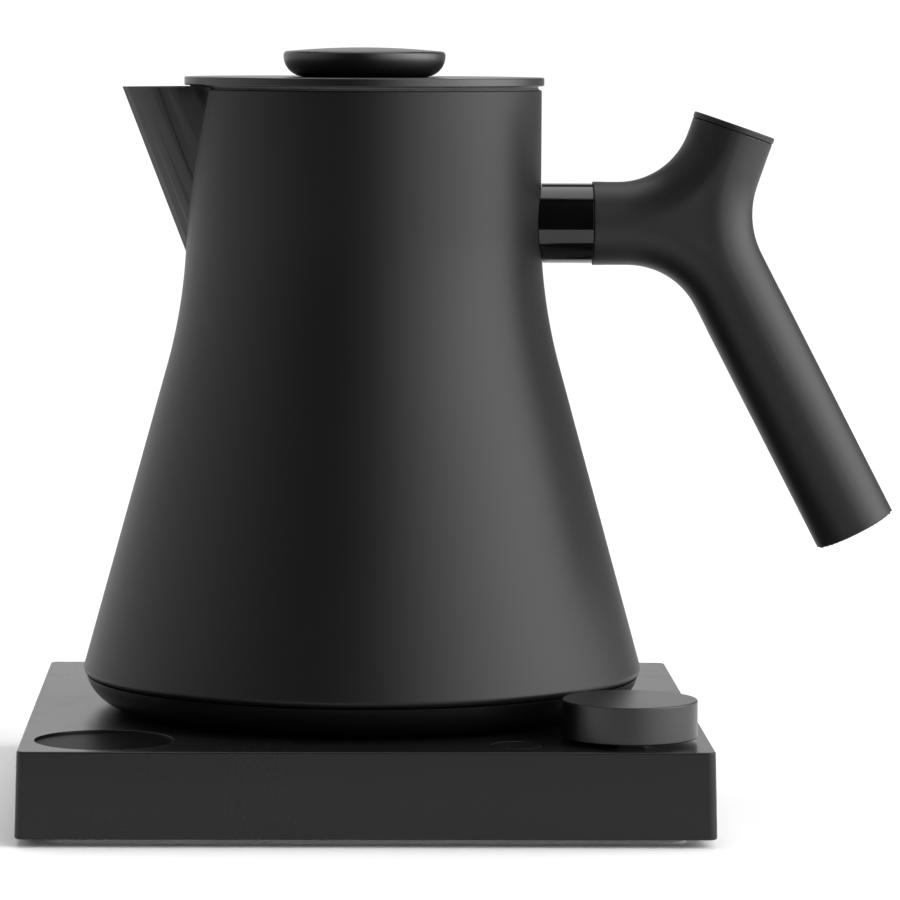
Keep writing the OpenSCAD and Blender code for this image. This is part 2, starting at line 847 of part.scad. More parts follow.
// Bent length of tube between two legs that meet at the hub. The inset keeps the
// faces of the three bends from lying on each other where they cross.
module handle_bend(u, v, inner_r, inset) {
    steps = 7;
    slice = 1.2;
    bend_r = inner_r + handle_r;
    between = acos(u * v);
    mid = (u + v) / norm(u + v);
    centre = mid * bend_r / sin(between / 2);
    from = atan2(-mid[1], -mid[0]);
    turn = (180 - between) / 2;
    translate([hub_x, 0, lift + arm_z]) for (i = [0 : steps - 1]) hull() for (j = [i, i + 1]) {
        a = from - turn + 2 * turn * j / steps;
        translate([centre[0] + bend_r * cos(a), 0, centre[1] + bend_r * sin(a)])
            rotate([0, -a, 0]) cylinder(r = handle_r - inset, h = slice, center = true, $fn = 40);
    }
}

module handle_shell() {
    seat = stub_len - cap_t;
    color("#1c1d1f") difference() {
        union() {
            along_arm(ferrule_end) cylinder(r = handle_r, h = hub_x - ferrule_end - 8, $fn = 40);
            along_leg(to_stub, 8) cylinder(r = handle_r, h = seat - 8 - close, $fn = 40);
            along_leg(to_grip, 8) handle_rod(grip_len - 8, 0.8);
            handle_bend(to_arm, to_stub, bend_top, 0.03);
            handle_bend(to_arm, to_grip, bend_inner, 0.06);
            handle_bend(to_stub, to_grip, bend_outer, 0.09);
        }
        along_arm(ferrule_end - 1) cylinder(r = tongue_r + 0.1, h = tongue_end - ferrule_end + 2);
        along_leg(to_stub, -tongue_r - 4) cylinder(r = screw_r + 0.2, h = REACH);
        along_leg(to_stub, screw_seat) cylinder(r = screw_head_r + 0.4, h = REACH);
        along_leg(to_stub, seat - spigot_h - 0.3) cylinder(r = spigot_r + 0.1, h = REACH);
        along_leg(to_grip, weight_from) cylinder(r = weight_r + 0.1, h = REACH);
    }
}

module handle_weight() {
    color("#7d8084") along_leg(to_grip, weight_from)
        cylinder(r = weight_r, h = weight_to - weight_from);
}

// Disc that closes the grip's bore, flush with its end
module grip_plug() {
    color("#1c1d1f") along_leg(to_grip, weight_to + close)
        cylinder(r = weight_r, h = plug_h - close);
}

module handle_screw() {
    foot = -tongue_r - 3.5;
    color("silver") along_leg(to_stub, 0) difference() {
        union() {
            translate([0, 0, foot]) cylinder(r = screw_r, h = screw_seat - foot + close);
            translate([0, 0, screw_seat + close]) cylinder(r = screw_head_r, h = screw_head_h);
        }
        translate([0, 0, screw_seat + 1.5]) cylinder(r = 1.8, h = REACH, $fn = 6);
    }
}

module handle_cap() {
    seat = stub_len - cap_t;
    soft = 0.4;
    color("#1c1d1f") along_leg(to_stub, seat) {
        rotate_extrude() polygon(concat(
            [[0, 0.15], [handle_r - soft, 0.15], [handle_r + 0.1, 0.15 + soft]],
            arc(handle_r + 0.1 - soft, cap_t - soft, soft, 0, 90, 4),
            [[0, cap_t]]
        ));
        translate([0, 0, -spigot_h]) cylinder(r = spigot_r, h = spigot_h + 0.15 + TINY);
    }
}

// ----------------------------------------------------------------------- lid

module lid_plate() {
    soft = 0.4;
    color("#1e1f21") above_deck(lid_z) difference() {
        rotate_extrude() polygon(concat(
            [[0, 0]],
            arc(lid_r - soft, soft, soft, -90, 0, 3),
            arc(lid_r - soft, lid_t - soft, soft, 0, 90, 3),
            [[0, lid_t]]
        ));
        translate([0, 0, -TINY]) cylinder(r = lid_screw_r + 0.2, h = lid_t + 1);
    }
}

module lid_gasket() {
    color("#5d6063") above_deck(rim_z + close)
        tube(gasket_r, plug_r + close, gasket_h - close);
}

// Skirted cup under the plate, which centres the lid in the neck
module lid_plug() {
    color("#28292c") above_deck(lid_z - skirt_h) difference() {
        cylinder(r = plug_r, h = skirt_h);
        translate([0, 0, -TINY]) cylinder(r = plug_r - plug_t, h = skirt_h - plug_t);
        cylinder(r = lid_screw_r + 0.2, h = REACH);
    }
}

// Pebble-shaped knob, drawn in at its foot
module lid_knob() {
    soft = 1;
    dome = 1;
    belly = pebble_h - dome - soft - 0.3;
    foot_x = pebble_r - pebble_tuck;
    rim = [pebble_r - soft, pebble_h - dome - soft];
    color("#18191a") above_deck(pebble_z) difference() {
        rotate_extrude($fn = 120) polygon(concat(
            [[0, 0]],
            [for (a = [90 : -9 : 0]) [foot_x + pebble_tuck * cos(a), belly * (1 - sin(a))]],
            arc(rim[0], rim[1], soft, 0, 80, 5),
            [for (i = [9 : -1 : 0])
                [rim[0] * i / 10, pebble_h - dome * pow(i / 10, 2)]]
        ));
        translate([0, 0, -TINY]) cylinder(r = lid_screw_r + close, h = pebble_h - 3);
    }
}

module lid_screw() {
    head_h = 2;
    color("silver") above_deck(lid_z - plug_t - head_h - close) difference() {
        screw(lid_screw_r, head_h + plug_t + lid_t + pebble_h - 4, lid_head_r, head_h);
        translate([0, 0, -TINY]) cylinder(r = 1.5, h = 1.2, $fn = 6);
    }
}

base_housing();
bottom_plate();
nonslip_pad();
base_screws();
base_connector();
connector_contacts();
display_bezel();
display_window();
display_module();
control_board();
board_screws();
buzzer();
encoder_body();
encoder_nut();
encoder_rotor();
encoder_shaft();
control_knob();
select_button();
switch_plunger();
button_switch();
power_board();
power_relay();
transformer();
filter_capacitor();
terminal_block();
cord_gland();
kettle_socket();
socket_contacts();
kettle_body();
spout();
bottom_cover();
cover_screws();
heater_plate();
heat_spreader();
heating_element();
element_terminals();
thermal_cutout();
temperature_probe();
probe_seal();
handle_bracket();
handle_ferrule();
handle_shell();
handle_weight();
grip_plug();
handle_screw();
handle_cap();
lid_plate();
lid_gasket();
lid_plug();
lid_knob();
lid_screw();
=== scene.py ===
from math import asin, atan2, cos, pi, radians, sin, tan

import bmesh
import bpy
from mathutils import Matrix, Vector


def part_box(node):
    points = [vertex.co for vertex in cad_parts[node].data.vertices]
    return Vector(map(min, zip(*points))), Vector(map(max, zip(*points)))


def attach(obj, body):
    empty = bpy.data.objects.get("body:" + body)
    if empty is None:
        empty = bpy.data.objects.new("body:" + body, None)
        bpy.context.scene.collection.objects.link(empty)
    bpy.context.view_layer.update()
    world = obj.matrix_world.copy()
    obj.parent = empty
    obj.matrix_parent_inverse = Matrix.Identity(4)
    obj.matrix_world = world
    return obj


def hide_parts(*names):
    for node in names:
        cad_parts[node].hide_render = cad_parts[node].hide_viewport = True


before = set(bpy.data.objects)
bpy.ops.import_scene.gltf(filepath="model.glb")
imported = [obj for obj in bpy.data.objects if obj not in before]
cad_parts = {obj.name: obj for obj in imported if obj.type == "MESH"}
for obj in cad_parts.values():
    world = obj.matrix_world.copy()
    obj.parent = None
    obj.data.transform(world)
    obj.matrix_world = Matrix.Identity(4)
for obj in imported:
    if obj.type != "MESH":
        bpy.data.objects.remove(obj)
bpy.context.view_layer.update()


# The studio. A pale floor before a white wall, a dark room on the viewer's side, one large
# soft light at the right, weaker ones at the left and behind, and a ceiling light.
MM = 0.001
base_low, base_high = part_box("base_housing")
deck = base_high.z

looks_down, rolls, looks_right = 4.07, -0.24, 1.0  # degrees
camera = bpy.data.objects.new("camera", bpy.data.cameras.new("camera"))
camera.location = (-17.6 * MM, -1264.2 * MM, deck + 175.5 * MM)
camera.rotation_euler = (radians(90 - looks_down), radians(rolls), radians(-looks_right))
camera.data.lens = 193.85
camera.data.sensor_width = 36
camera.data.shift_x = 0.0758
camera.data.shift_y = -0.0783
bpy.context.collection.objects.link(camera)
bpy.context.scene.camera = camera
bpy.context.scene.view_settings.view_transform = "Standard"


class Signal:
    """A socket of a material, with the ordinary signs for its sums."""

    def __init__(self, finish, socket):
        self.finish = finish
        self.socket = socket

    def sums(self, operation, first, second):
        return self.finish.add("ShaderNodeMath", {"operation": operation}, {0: first, 1: second})

    def __add__(self, other):
        return self.sums("ADD", self, other)

    def __sub__(self, other):
        return self.sums("SUBTRACT", self, other)

    def __rsub__(self, other):
        return self.sums("SUBTRACT", other, self)

    def __mul__(self, other):
        return self.sums("MULTIPLY", self, other)

    def __truediv__(self, other):
        return self.sums("DIVIDE", self, other)

    __radd__ = __add__
    __rmul__ = __mul__

    def between(self, low, high):
        """0 at low, 1 at high, held to that range."""
        values = {"Value": self, "From Min": low, "From Max": high}
        return self.finish.add("ShaderNodeMapRange", {"clamp": True}, values)


class Finish:
    """A material, or the studio's surroundings, put together node by node."""

    def __init__(self, tree, surface, output):
        self.tree = tree
        self.surface = tree.nodes[surface]
        self.output = tree.nodes[output]

    def fill(self, socket, value):
        if isinstance(value, Signal):
            self.tree.links.new(value.socket, socket)
        elif hasattr(socket.default_value, "__len__") and not hasattr(value, "__len__"):
            socket.default_value = (value,) * 3 + (1,) * (len(socket.default_value) - 3)
        elif hasattr(value, "__len__") and len(value) < len(socket.default_value):
            socket.default_value = (*value, 1)
        else:
            socket.default_value = value

    def add(self, kind, settings, values, output=0):
        node = self.tree.nodes.new(kind)
        for name, value in settings.items():
            if name == "stops":
                ramp = node.color_ramp.elements
                ramp.remove(ramp[1])
                for count, (place, grey) in enumerate(value):
                    stop = ramp.new(place) if count else ramp[0]
                    stop.position = place
                    stop.color = (grey, grey, grey, 1)
            else:
                setattr(node, name, value)
        for name, value in values.items():
            self.fill(node.inputs[name], value)
        return Signal(self, node.outputs[output])

    def set(self, **values):
        for name, value in values.items():
            self.fill(self.surface.inputs[name.replace("_", " ")], value)

    def place(self, stretch=(1, 1, 1)):
        """Object coordinates, stretched or squeezed along the axes."""
        at = self.add("ShaderNodeTexCoord", {}, {}, "Object")
        return self.add("ShaderNodeMapping", {}, {"Vector": at, "Scale": stretch})

    def noise(self, size, detail=2, place=None, spread=0.5):
        """Cloudy noise whose lumps are about size metres across."""
        values = {"Vector": place or self.place(), "Scale": 1 / size, "Detail": detail}
        return self.add("ShaderNodeTexNoise", {}, {**values, "Roughness": spread})

    def cells(self, size):
        """Cells about size metres across, dark in the middle and pale at their edges."""
        return self.add("ShaderNodeTexVoronoi", {}, {"Vector": self.place(), "Scale": 1 / size})

    def blend(self, share, first, second):
        """The first colour where share is 0, the second where it is 1."""
        node = self.tree.nodes.new("ShaderNodeMix")
        node.data_type = "RGBA"
        self.fill(node.inputs[0], share)
        self.fill(node.inputs[6], first)
        self.fill(node.inputs[7], second)
        return Signal(self, node.outputs[2])

    def relief(self, height, depth, below=None):
        """A bump whose full height stands depth metres proud."""
        values = {"Height": height, "Distance": depth, "Strength": 1}
        if below:
            values["Normal"] = below
        return self.add("ShaderNodeBump", {}, values)


def finish(name):
    """A new material, and the means to fill it in."""
    material = bpy.data.materials.new(name)
    material.use_nodes = True
    return material, Finish(material.node_tree, "Principled BSDF", "Material Output")


world = bpy.data.worlds.new("studio")
world.use_nodes = True
bpy.context.scene.world = world
room = Finish(world.node_tree, "Background", "World Output")
direction = room.add("ShaderNodeTexCoord", {}, {}, "Generated")
across = room.add("ShaderNodeSeparateXYZ", {}, {"Vector": direction}, "X")
ahead = room.add("ShaderNodeSeparateXYZ", {}, {"Vector": direction}, "Y")
turn = across.sums("ARCTAN2", across, 0 - ahead) / (2 * pi) + 0.5
WALLS = (  # degrees round the room from the viewer, and how bright the wall is there
    (-180, 1.0), (-160, 0.95), (-135, 0.8), (-90, 1.0), (-60, 0.6), (-35, 0.15), (-15, 0.0),
    (6, 0.0), (14, 0.8), (24, 1.7), (40, 3.0), (60, 4.8), (80, 5.8), (100, 4.4), (115, 2.2),
    (128, 0.5), (150, 0.15), (165, 0.7), (180, 1.0))
BRIGHTEST = 6.0
CEILING = 2.4
WHITE_BEHIND = 1.05  # what the camera itself sees past the floor
walls = room.add("ShaderNodeValToRGB", {"stops": [
    (degrees / 360 + 0.5, glow / BRIGHTEST) for degrees, glow in WALLS]}, {"Fac": turn})
straight_up = room.add(
    "ShaderNodeVectorMath", {"operation": "DOT_PRODUCT"}, {0: direction, 1: (0, 0.25, 0.97)}, "Value")
overhead = straight_up.between(0.86, 0.93)
wall_tops = straight_up.between(0.6, 0.8)
glow = walls * BRIGHTEST * (1 - wall_tops) + overhead * CEILING
seen = room.add("ShaderNodeLightPath", {}, {}, "Is Camera Ray")
room.set(Color=(1, 1, 1), Strength=seen * (WHITE_BEHIND - glow) + glow)

floor_half, floor_back = 0.9, 0.4  # metres
floor_shape = bmesh.new()
bmesh.ops.create_grid(floor_shape, x_segments=1, y_segments=1, size=floor_half)
bmesh.ops.translate(floor_shape, verts=floor_shape.verts, vec=(0, floor_back, 0))
floor_mesh = bpy.data.meshes.new("floor")
floor_shape.to_mesh(floor_mesh)
floor = bpy.data.objects.new("floor", floor_mesh)
bpy.context.collection.objects.link(floor)
floor_material, floor_finish = finish("floor_paper")
floor_finish.set(Base_Color=(0.96, 0.96, 0.96), Roughness=0.9)
floor_mesh.materials.append(floor_material)


# Non-slip pad. A sheet of grey silicone rubber stuck under the bottom plate, set in from
# the sides. Pressed with a fine weave and a little dusty.
def coat(node, material):
    """Gives a piece that comes straight from the frame its finish."""
    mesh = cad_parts[node].data
    mesh.materials.clear()
    mesh.materials.append(material)


pad_rubber, rubber = finish("pad_rubber")
dust = rubber.noise(6 * MM, 4)
weave = rubber.cells(1.1 * MM)
rubber.set(
    Base_Color=rubber.blend(dust, (0.42, 0.42, 0.42), (0.55, 0.55, 0.55)),
    Roughness=0.75 + 0.2 * dust,
    Normal=rubber.relief(weave, 0.12 * MM),
)
coat("nonslip_pad", pad_rubber)


# Bottom plate and its screws. The plate is moulded in the same black as the feet of such
# appliances, with a coarse spark grain; the screws are zinc-plated steel.
def moulded(name, colour, rough, grain, depth, sheen=0.3):
    """Moulded plastic: a spark-eroded grain, slight flow marks and uneven gloss."""
    material, plastic = finish(name)
    flow = plastic.noise(25 * MM, 3)
    spark = plastic.noise(grain, 3, spread=0.65)
    pale = tuple(c * 1.25 for c in colour)
    plastic.set(
        Base_Color=plastic.blend(flow, colour, pale),
        Roughness=rough - 0.03 + 0.05 * flow + 0.04 * spark,
        Specular_IOR_Level=sheen,
        Normal=plastic.relief(spark, depth),
    )
    return material


plate_black = moulded("plate_black", (0.02, 0.02, 0.021), 0.6, 0.6 * MM, 0.05 * MM)
coat("bottom_plate", plate_black)

screw_zinc, zinc = finish("screw_zinc")
spangle = zinc.cells(0.9 * MM)
rub = zinc.noise(0.4 * MM, 4)
zinc.set(
    Base_Color=zinc.blend(spangle, (0.52, 0.53, 0.55), (0.68, 0.69, 0.71)),
    Roughness=0.26 + 0.2 * rub,
    Metallic=1.0,
    Normal=zinc.relief(rub, 0.01 * MM),
)
coat("base_screws", screw_zinc)


# Base housing. One moulding in satin black: a square deck with sharp but broken edges,
# walls that lean out a little to their foot, and round holes for what comes through.
def evened(piece):
    """Keeps wide flat faces flat to the eye, so that only narrow ones blend."""
    even = piece.modifiers.new("even", "WEIGHTED_NORMAL")
    even.keep_sharp = True
    even.weight = 90
    return piece


def made(name, shape, material, sharp=28):
    """Turns a finished bmesh into a piece, smooth except at its sharp edges."""
    mesh = bpy.data.meshes.new(name)
    bmesh.ops.recalc_face_normals(shape, faces=shape.faces)
    shape.to_mesh(mesh)
    shape.free()
    piece = bpy.data.objects.new(name, mesh)
    bpy.context.collection.objects.link(piece)
    mesh.shade_smooth()
    mesh.set_sharp_from_angle(angle=radians(sharp))
    mesh.materials.append(material)
    return evened(piece)


def settled(piece, sharp=28):
    """Makes a piece's modifiers part of its mesh."""
    bpy.context.view_layer.update()
    evaluated = piece.evaluated_get(bpy.context.evaluated_depsgraph_get())
    mesh = bpy.data.meshes.new_from_object(evaluated)
    piece.modifiers.clear()
    piece.data = mesh
    mesh.shade_smooth()
    mesh.set_sharp_from_angle(angle=radians(sharp))
    evened(piece)


def carved(piece, tool, sharp=28):
    """Cuts a piece with a tool, which is used up."""
    knife = piece.modifiers.new("cut", "BOOLEAN")
    knife.operation = "DIFFERENCE"
    knife.solver = "EXACT"
    knife.object = tool
    settled(piece, sharp)
    bpy.data.objects.remove(tool)


def rounded(*corners, steps=6):
    """An outline through corners (x, z, radius), each one rounded by its radius."""
    points = []
    for i, (x, z, radius) in enumerate(corners):
        here = Vector((x, z))
        if not radius:
            points.append(here)
            continue
        before = (Vector(corners[i - 1][:2]) - here).normalized()
        after = (Vector(corners[(i + 1) % len(corners)][:2]) - here).normalized()
        half = before.angle(after) / 2
        reach = radius / tan(half)
        centre = here + (before + after).normalized() * radius / sin(half)
        start = here + before * reach - centre
        end = here + after * reach - centre
        for k in range(steps + 1):
            points.append(centre + radius * start.normalized().slerp(end.normalized(), k / steps))
    return [(p.x, p.y) for p in points]


def turned(outline, closed=True, sides=128):
    """Spins an outline of (radius, height) round the Z axis."""
    shape = bmesh.new()
    points = [shape.verts.new((x, 0, z)) for x, z in outline]
    pairs = list(zip(points, points[1:]))
    if closed:
        pairs.append((points[-1], points[0]))
    for pair in pairs:
        shape.edges.new(pair)
    bmesh.ops.spin(
        shape, geom=shape.verts[:] + shape.edges[:], cent=(0, 0, 0), axis=(0, 0, 1),
        angle=2 * pi, steps=sides, use_merge=True,
    )
    bmesh.ops.remove_doubles(shape, verts=shape.verts, dist=0.001 * MM)
    return shape


def moved(shape, x, y):
    bmesh.ops.translate(shape, verts=shape.verts, vec=(x, y, 0))
    return shape


def middle_of(node):
    low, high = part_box(node)
    return (low + high) / 2


deck_satin, satin = finish("deck_satin")
spark = satin.noise(0.35 * MM, 3, spread=0.6)
flow = satin.noise(40 * MM, 3)
handled = satin.noise(9 * MM, 5)
satin.set(
    Base_Color=satin.blend(flow, (0.006, 0.006, 0.0062), (0.008, 0.008, 0.0083)),
    Specular_IOR_Level=0.3,
    Roughness=0.24 + 0.05 * flow + 0.04 * handled.between(0.55, 0.8) + 0.03 * spark,
    Normal=satin.relief(spark, 0.004 * MM),
)

wall = 2.2 * MM
deck_thick = 2.4 * MM
window_middle = middle_of("display_window")
window_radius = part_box("display_window")[1].x - window_middle.x
button_middle = middle_of("select_button")
knob_middle = middle_of("control_knob")


def leaning_block(low_half, high_half, low, high, corner):
    """A square block whose sides lean, with its upright corners rounded."""
    shape = bmesh.new()
    bmesh.ops.create_cube(shape, size=2)
    for vert in shape.verts:
        half = high_half if vert.co.z > 0 else low_half
        vert.co = Vector((vert.co.x * half, vert.co.y * half, high if vert.co.z > 0 else low))
    upright = [e for e in shape.edges if abs(e.verts[0].co.z - e.verts[1].co.z) > 0.5 * (high - low)]
    bmesh.ops.bevel(
        shape, geom=upright, offset=corner, offset_type="OFFSET", segments=8, profile=0.5,
        affect="EDGES", material=-1,
    )
    return shape


foot_half = base_high.x
deck_half = foot_half - 0.5 * MM
upright_edge, deck_edge, foot_edge = 2 * MM, 0.45 * MM, 0.6 * MM
block = leaning_block(foot_half, deck_half, base_low.z, deck, upright_edge)
for height, radius, segments in ((deck, deck_edge, 4), (base_low.z, foot_edge, 3)):
    rim = [e for e in block.edges if all(abs(v.co.z - height) < 0.01 * MM for v in e.verts)]
    bmesh.ops.bevel(
        block, geom=rim, offset=radius, offset_type="OFFSET", segments=segments, profile=0.5,
        affect="EDGES", material=-1,
    )
housing = made("base_housing_shell", block, deck_satin)
hollow = leaning_block(
    deck_half - wall, deck_half - wall, base_low.z - 5 * MM, deck - deck_thick, 0.8 * MM)
carved(housing, made("hollow", hollow, deck_satin))


def hole(radius, soft, top=deck, bottom=deck - 8 * MM):
    """Cutter for a round hole whose edge at the top is softened."""
    above = top + 2 * MM
    flare = [(0, bottom), (radius, bottom), (radius, top - soft)]
    for k in range(1, 5):
        a = k / 4 * pi / 2
        flare.append((radius + soft * (1 - cos(a)), top - soft + soft * sin(a)))
    return turned([*flare, (radius + soft, above), (0, above)], closed=False)


cap_radius = 6.5 * MM
boss_radius = 16.5 * MM
gland_neck = 6 * MM
slip = 0.05 * MM
for place, radius, soft in (
    (window_middle, window_radius + slip, 0.12 * MM),
    (button_middle, cap_radius + 4 * slip, 0.25 * MM),
    (knob_middle, 4.25 * MM, 0.1 * MM),
    (Vector((0, 0, 0)), boss_radius + slip, 0.3 * MM),
):
    carved(housing, made("hole", moved(hole(radius, soft), place.x, place.y), deck_satin))

gland_middle = middle_of("cord_gland")
gland_hole = bmesh.new()
bmesh.ops.create_cone(
    gland_hole, segments=64, radius1=gland_neck + slip, radius2=gland_neck + slip,
    depth=20 * MM, cap_ends=True,
    matrix=Matrix.Translation(gland_middle) @ Matrix.Rotation(pi / 2, 4, "X"),
)
carved(housing, made("gland_hole", gland_hole, deck_satin))
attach(housing, "power_base")
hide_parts("base_housing")


# Display window, its holder and the display. The window is a disc of smoked plastic, its
# face lightly etched, sunk a little below the deck; the rest lies dark beneath it.
window_smoke, smoke = finish("window_smoke")
etch = smoke.noise(0.25 * MM, 3)
haze = smoke.noise(12 * MM, 3)
smoke.set(
    Base_Color=smoke.blend(haze, (0.004, 0.004, 0.0042), (0.006, 0.006, 0.0062)),
    Specular_IOR_Level=0.01,
    Roughness=0.3 + 0.05 * haze + 0.03 * etch,
    Normal=smoke.relief(etch, 0.002 * MM),
)
low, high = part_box("display_window")
edge = 0.15 * MM
window = made("display_window_disc", moved(turned(rounded(
    (0, low.z, 0), (window_radius, low.z, edge), (window_radius, high.z, edge), (0, high.z, 0)),
    closed=False), window_middle.x, window_middle.y), window_smoke)
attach(window, "power_base")
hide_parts("display_window")
coat("display_bezel", plate_black)

display_dark, display = finish("display_dark")
mesh_of_dots = display.cells(0.5 * MM)
display.set(
    Base_Color=display.blend(mesh_of_dots, (0.01, 0.011, 0.012), (0.03, 0.032, 0.035)),
    Roughness=0.2 + 0.2 * mesh_of_dots,
)
coat("display_module", display_dark)


# Control knob. Turned from solid bar and finished in the same black as the body, with a
# flat top, a fine broken edge and a hollow underside over the encoder's nut.
def powder(name, colour, rough, sheen):
    """Baked powder coat: fine orange peel under a finer grain, with dusty variation."""
    material, coatings = finish(name)
    peel = coatings.noise(1.4 * MM, 2)
    grain = coatings.noise(0.28 * MM, 3, spread=0.6)
    cloud = coatings.noise(30 * MM, 4)
    speck = coatings.cells(0.55 * MM).between(0.12, 0.02)
    body = coatings.blend(cloud, colour, tuple(c * 1.18 for c in colour))
    coatings.set(
        Base_Color=coatings.blend(0.25 * speck, body, tuple(c * 2.2 for c in colour)),
        Roughness=rough - 0.03 + 0.05 * cloud + 0.03 * grain,
        Specular_IOR_Level=sheen,
        Normal=coatings.relief(
            grain, 0.006 * MM, below=coatings.relief(peel, 0.006 * MM)),
    )
    return material


knob_black = powder("knob_black", (0.003, 0.003, 0.0031), 0.33, 0.6)
low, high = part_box("control_knob")
radius = (high.x - low.x) / 2
shaft_hole = 3.05 * MM
boss = 5.5 * MM
skirt_inside = radius - 2.2 * MM
ceiling = high.z - 2.5 * MM
edge = 0.35 * MM
knob = made("control_knob_turned", moved(turned(rounded(
    (shaft_hole, low.z, 0.1 * MM), (boss, low.z, 0.1 * MM), (boss, ceiling, 0),
    (skirt_inside, ceiling, 0.5 * MM), (skirt_inside, low.z, 0.2 * MM),
    (radius, low.z, edge), (radius, high.z, edge), (0, high.z, 0),
    (0, ceiling, 0), (shaft_hole, ceiling, 0))),
    knob_middle.x, knob_middle.y), knob_black)
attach(knob, "knob")
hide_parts("control_knob")


# Select button. A small moulded cap, dished for the fingertip, with a flange that keeps
# it under the deck and a stem down to its switch.
button_black = moulded("button_black", (0.006, 0.006, 0.0062), 0.33, 0.3 * MM, 0.006 * MM)
low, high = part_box("select_button")
stem = 1.7 * MM
flange = 7.7 * MM
flange_top = deck - deck_thick - 0.3 * MM
flange_foot = flange_top - 1.5 * MM
dish_radius, dish_depth = cap_radius * 0.86, 0.55 * MM
dish = [
    (dish_radius * k / 10, high.z - dish_depth * cos(pi / 2 * k / 10) ** 2)
    for k in range(9, -1, -1)]
button = made("select_button_cap", moved(turned([
    (0, low.z), (stem, low.z), (stem, flange_foot),
    (flange, flange_foot), (flange, flange_top), (cap_radius, flange_top),
    (cap_radius, high.z - 0.3 * MM), (cap_radius - 0.09 * MM, high.z - 0.09 * MM),
    (cap_radius - 0.3 * MM, high.z), *dish], closed=False),
    button_middle.x, button_middle.y), button_black, sharp=40)
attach(button, "button")
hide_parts("select_button")


# Rotary encoder and button switch. Small dark mouldings with a steel shaft and a nickel
# nut, all under the knob and the button.
component_black = moulded("component_black", (0.03, 0.03, 0.032), 0.5, 0.3 * MM, 0.01 * MM)
for node in ("encoder_body", "encoder_rotor", "button_switch", "switch_plunger", "buzzer"):
    coat(node, component_black)

turned_steel, steel = finish("turned_steel")
rings = steel.noise(0.2 * MM, 3, steel.place((0.05, 0.05, 1)))
steel.set(
    Base_Color=steel.blend(rings, (0.5, 0.5, 0.51), (0.66, 0.66, 0.67)),
    Roughness=0.22 + 0.18 * rings,
    Metallic=1.0,
    Normal=steel.relief(rings, 0.01 * MM),
)
for node in ("encoder_nut", "encoder_shaft"):
    coat(node, turned_steel)


# Printed boards, their screws and the parts soldered to them. Green lacquer over copper
# tracks; the parts are moulded or taped cases in their usual colours.
board_green, lacquer = finish("board_green")
tracks = lacquer.add("ShaderNodeTexBrick", {"offset": 0.37}, {
    "Vector": lacquer.place(), "Scale": 180.0, "Mortar Size": 0.035, "Brick Width": 0.9,
    "Row Height": 0.22}, "Fac")
glass = lacquer.noise(1.5 * MM, 3)
lacquer.set(
    Base_Color=lacquer.blend(tracks, (0.012, 0.09, 0.04), (0.05, 0.2, 0.1)),
    Roughness=0.3 + 0.15 * glass,
    Normal=lacquer.relief(tracks, 0.03 * MM),
)
for node in ("control_board", "power_board"):
    coat(node, board_green)
coat("board_screws", screw_zinc)


def case(name, node, colour, rough):
    """A component's case, dull with handling and printed with nothing."""
    material, shell = finish(name)
    scuff = shell.noise(2 * MM, 5)
    shell.set(
        Base_Color=shell.blend(scuff, colour, tuple(c * 0.75 for c in colour)),
        Roughness=rough + 0.15 * scuff,
        Normal=shell.relief(scuff, 0.02 * MM),
    )
    coat(node, material)


case("relay_blue", "power_relay", (0.04, 0.12, 0.32), 0.35)
case("winding_yellow", "transformer", (0.62, 0.45, 0.06), 0.45)
case("sleeve_blue", "filter_capacitor", (0.03, 0.09, 0.22), 0.25)
case("terminal_cream", "terminal_block", (0.7, 0.68, 0.6), 0.5)
case("ceramic_cream", "thermal_cutout", (0.78, 0.74, 0.66), 0.6)


# Cord gland. A black nylon bush pushed into the rear wall, flanged on both sides, which
# the mains lead would pass through.
gland_black = moulded("gland_black", (0.016, 0.016, 0.017), 0.42, 0.4 * MM, 0.01 * MM)
low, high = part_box("cord_gland")
lead_bore = 3.5 * MM
collar = 7.6 * MM
inner_collar = low.y + 7.3 * MM
outer_collar = high.y - 2 * MM
gland_shape = turned(rounded(
    (lead_bore, low.y, 0.3 * MM), (collar, low.y, 0.4 * MM),
    (collar, inner_collar, 0.2 * MM), (gland_neck, inner_collar, 0),
    (gland_neck, outer_collar, 0), (collar, outer_collar, 0.2 * MM), (collar, high.y, 0.9 * MM),
    (lead_bore, high.y, 0.9 * MM)), sides=96)
bmesh.ops.transform(
    gland_shape, verts=gland_shape.verts,
    matrix=Matrix.Translation((gland_middle.x, 0, gland_middle.z)) @ Matrix.Rotation(-pi / 2, 4, "X"))
gland = made("cord_gland_bush", gland_shape, gland_black)
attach(gland, "power_base")
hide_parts("cord_gland")


# Power connector in the base. A round moulded boss with a ring groove and a centre hole;
# brass spring contacts stand inside both, so that the kettle is fed at any angle.
low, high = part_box("base_connector")
well = low.z + 2 * MM
flange = 21 * MM
flange_top = deck - deck_thick
flange_foot = flange_top - 2.5 * MM
groove_out, groove_in, pin_well = 10.6 * MM, 8.2 * MM, 4.25 * MM
lip = 0.4 * MM
connector = made("base_connector_boss", turned(rounded(
    (0, low.z, 0), (boss_radius, low.z, 0.5 * MM), (boss_radius, flange_foot, 0),
    (flange, flange_foot, 0.4 * MM), (flange, flange_top, 0.2 * MM),
    (boss_radius, flange_top, 0), (boss_radius, high.z, 1.2 * MM), (groove_out, high.z, lip),
    (groove_out, well, 0), (groove_in, well, 0), (groove_in, high.z, lip),
    (pin_well, high.z, lip), (pin_well, well, 0), (0, well, 0)), closed=False), gland_black)
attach(connector, "power_base")
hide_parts("base_connector")

